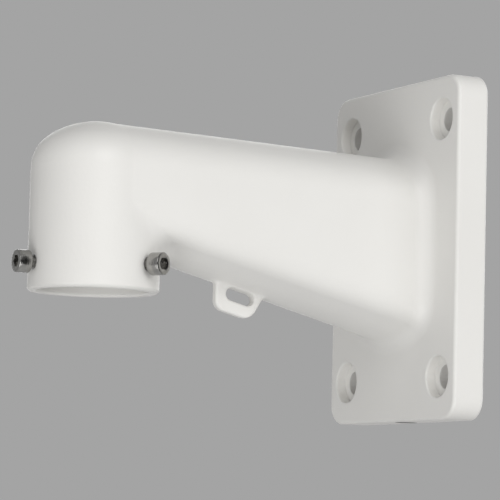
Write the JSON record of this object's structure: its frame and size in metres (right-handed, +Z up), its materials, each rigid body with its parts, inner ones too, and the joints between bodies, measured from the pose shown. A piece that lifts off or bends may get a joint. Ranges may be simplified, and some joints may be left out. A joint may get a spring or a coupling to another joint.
{
  "type": "camera wall bracket",
  "caption": "White cast wall bracket for a hanging camera: bolted wall plate, hollow tapering arm, collar with clamp screws open below, and a lug with a slot for a safety rope.",
  "frame": {"origin": "middle of the wall plate's back face, which is the middle of the four wall bolts", "axes": "+Z up, +Y into the wall, so the arm reaches out along -Y; the bracket is symmetric about X = 0"},
  "size_m": [0.112, 0.2046, 0.156],
  "materials": {
    "powder_coat": "satin warm white powder coat on cast aluminium",
    "screw_steel": "polished stainless steel"
  },
  "bodies": {
    "root": {"bracket_casting": "powder_coat", "clamp_screws": "screw_steel"}
  },
  "joints": []
}
